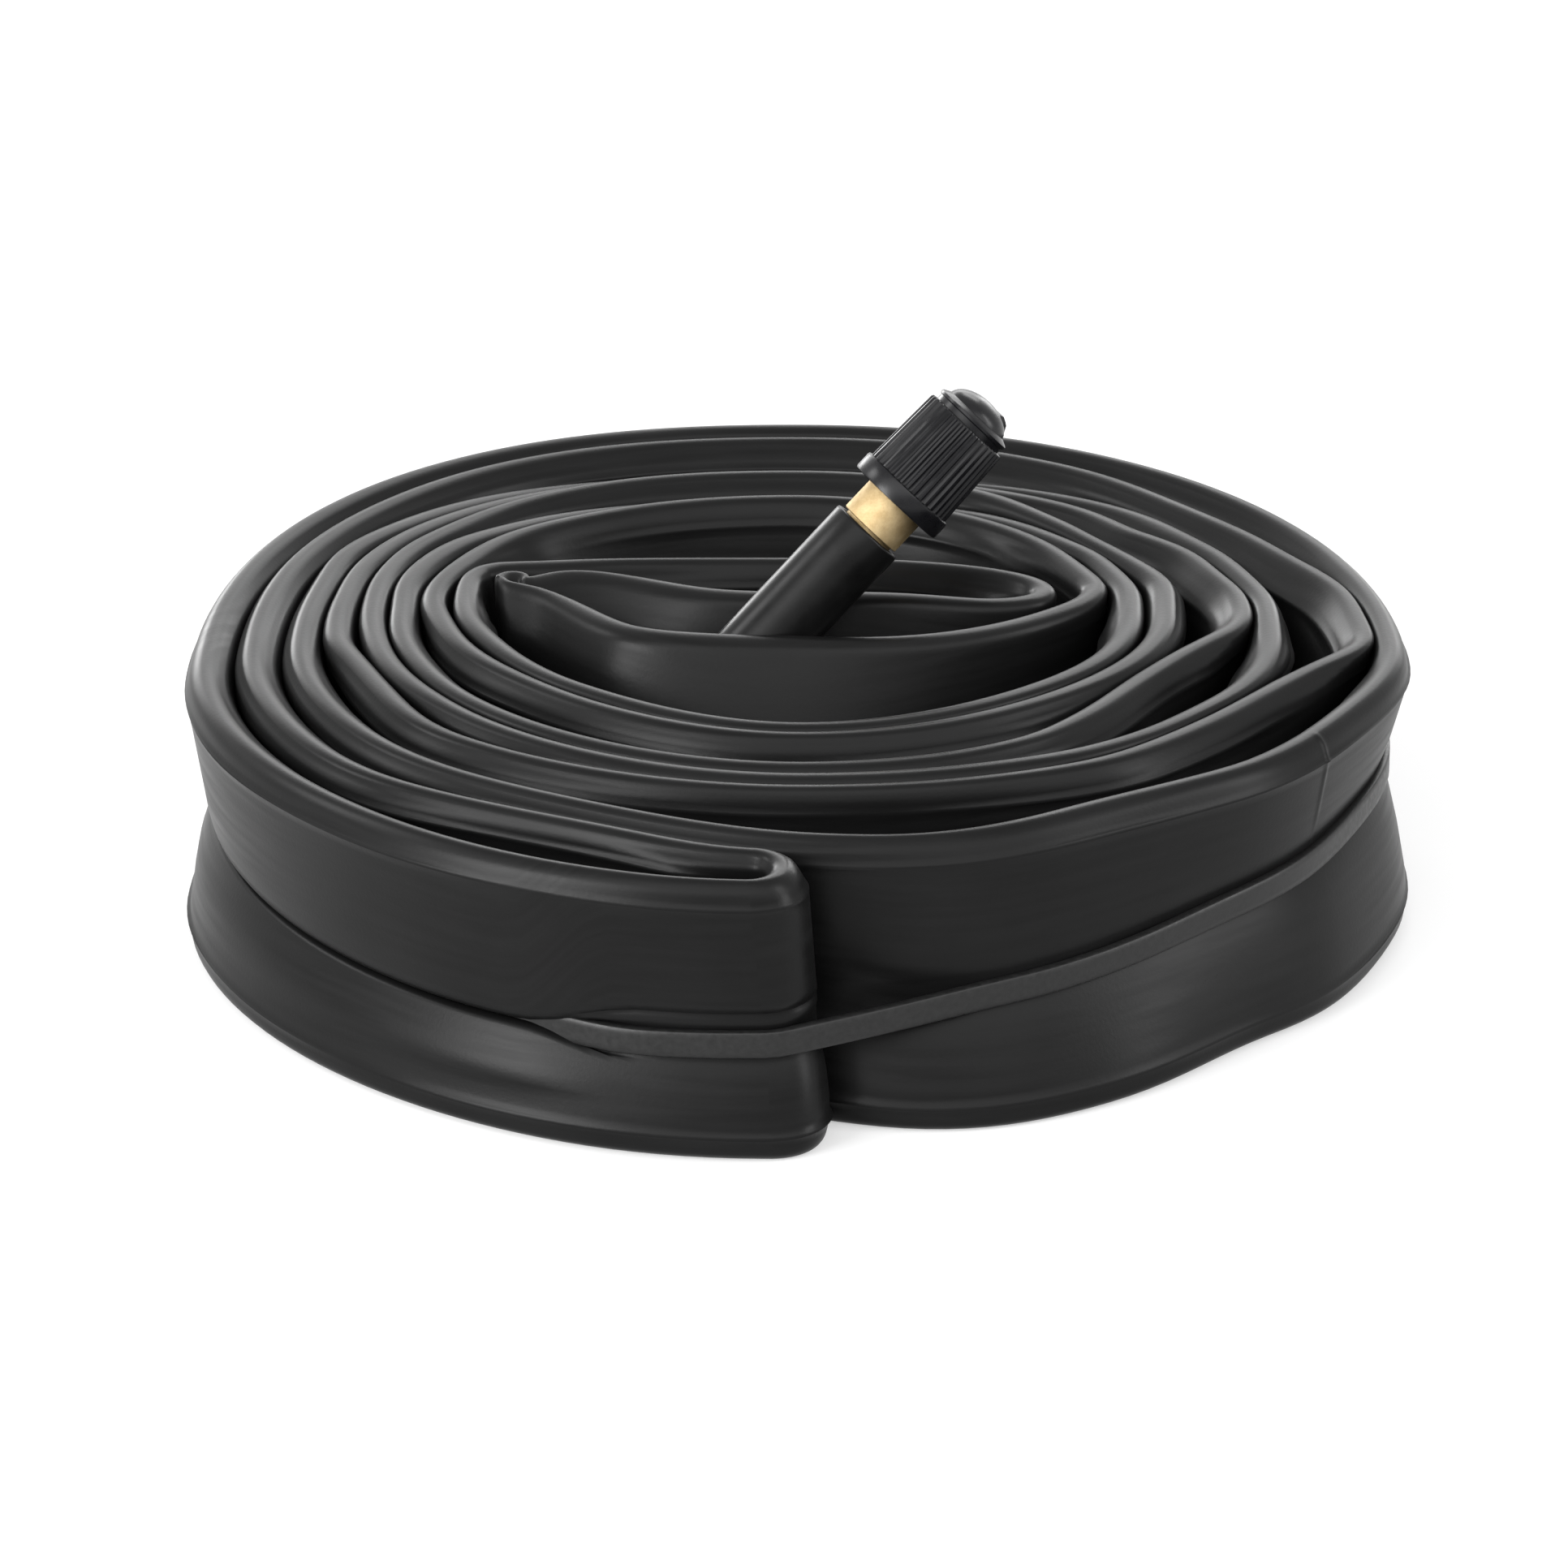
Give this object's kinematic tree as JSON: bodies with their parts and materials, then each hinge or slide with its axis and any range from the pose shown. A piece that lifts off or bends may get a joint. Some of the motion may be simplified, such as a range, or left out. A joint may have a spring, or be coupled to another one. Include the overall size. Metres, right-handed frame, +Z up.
{
  "type": "inner tube",
  "caption": "Flattened black butyl inner tube, laid double and rolled up on edge under a rubber band, with a rubber-covered car-type valve, its core and a ribbed dust cap.",
  "frame": {"origin": "middle of the part's box, on the surface that the roll stands on", "axes": "+Z up, away from that surface; +X to the right of the picture, the side that the valve leans to; -Y to the viewer"},
  "size_m": [0.1225, 0.121, 0.0516],
  "materials": {
    "butyl": "matt moulded butyl with a faint bloom",
    "moulded_rubber": "smooth satin moulding",
    "band_rubber": "matt cut strip",
    "brass": "turned, bright",
    "black_plastic": "moulded, satin",
    "steel": "drawn wire",
    "seal_rubber": "matt"
  },
  "bodies": {
    "tube": {"inner_tube": "butyl", "rubber_band": "band_rubber", "valve_foot": "moulded_rubber", "stem_jacket": "moulded_rubber", "stem_insert": "brass"},
    "cap_lifted": {"cap_seal": "seal_rubber"},
    "cap": {"dust_cap": "black_plastic"},
    "core": {"core_barrel": "brass", "core_gasket": "seal_rubber", "core_spring": "steel"},
    "core_screw": {"core_plug": "brass"},
    "core_stopper": {"core_pin": "steel", "core_cup": "brass", "core_cup_seal": "seal_rubber"}
  },
  "joints": [
    {"name": "cap_lift", "type": "slide", "parent": "tube", "child": "cap_lifted", "axis": [0.6841, 0.2302, 0.6921], "range_m": [0, 0.00476]},
    {"name": "cap_turn", "type": "hinge", "parent": "cap_lifted", "child": "cap", "pos_m": [-0.0011, 0.00481, 0.029], "axis": [0.6841, 0.2302, 0.6921], "range_deg": [0, 2161]},
    {"name": "core_lift", "type": "slide", "parent": "tube", "child": "core", "axis": [0.6841, 0.2302, 0.6921], "range_m": [0, 0.00141]},
    {"name": "core_turn", "type": "hinge", "parent": "core", "child": "core_screw", "pos_m": [-0.0011, 0.00481, 0.029], "axis": [0.6841, 0.2302, 0.6921], "range_deg": [0, 721]},
    {"name": "pin_press", "type": "slide", "parent": "core", "child": "core_stopper", "axis": [-0.6841, -0.2302, -0.6921], "range_m": [0, 0.0012], "stiffness_N_per_m": 1500, "springref_m": -0.003, "deforming": ["core_spring"]}
  ],
  "couplings": [
    {"joint": "cap_turn", "follows": "cap_lift", "rad_per_m": 7915.8},
    {"joint": "core_turn", "follows": "core_lift", "rad_per_m": 8905.3}
  ]
}
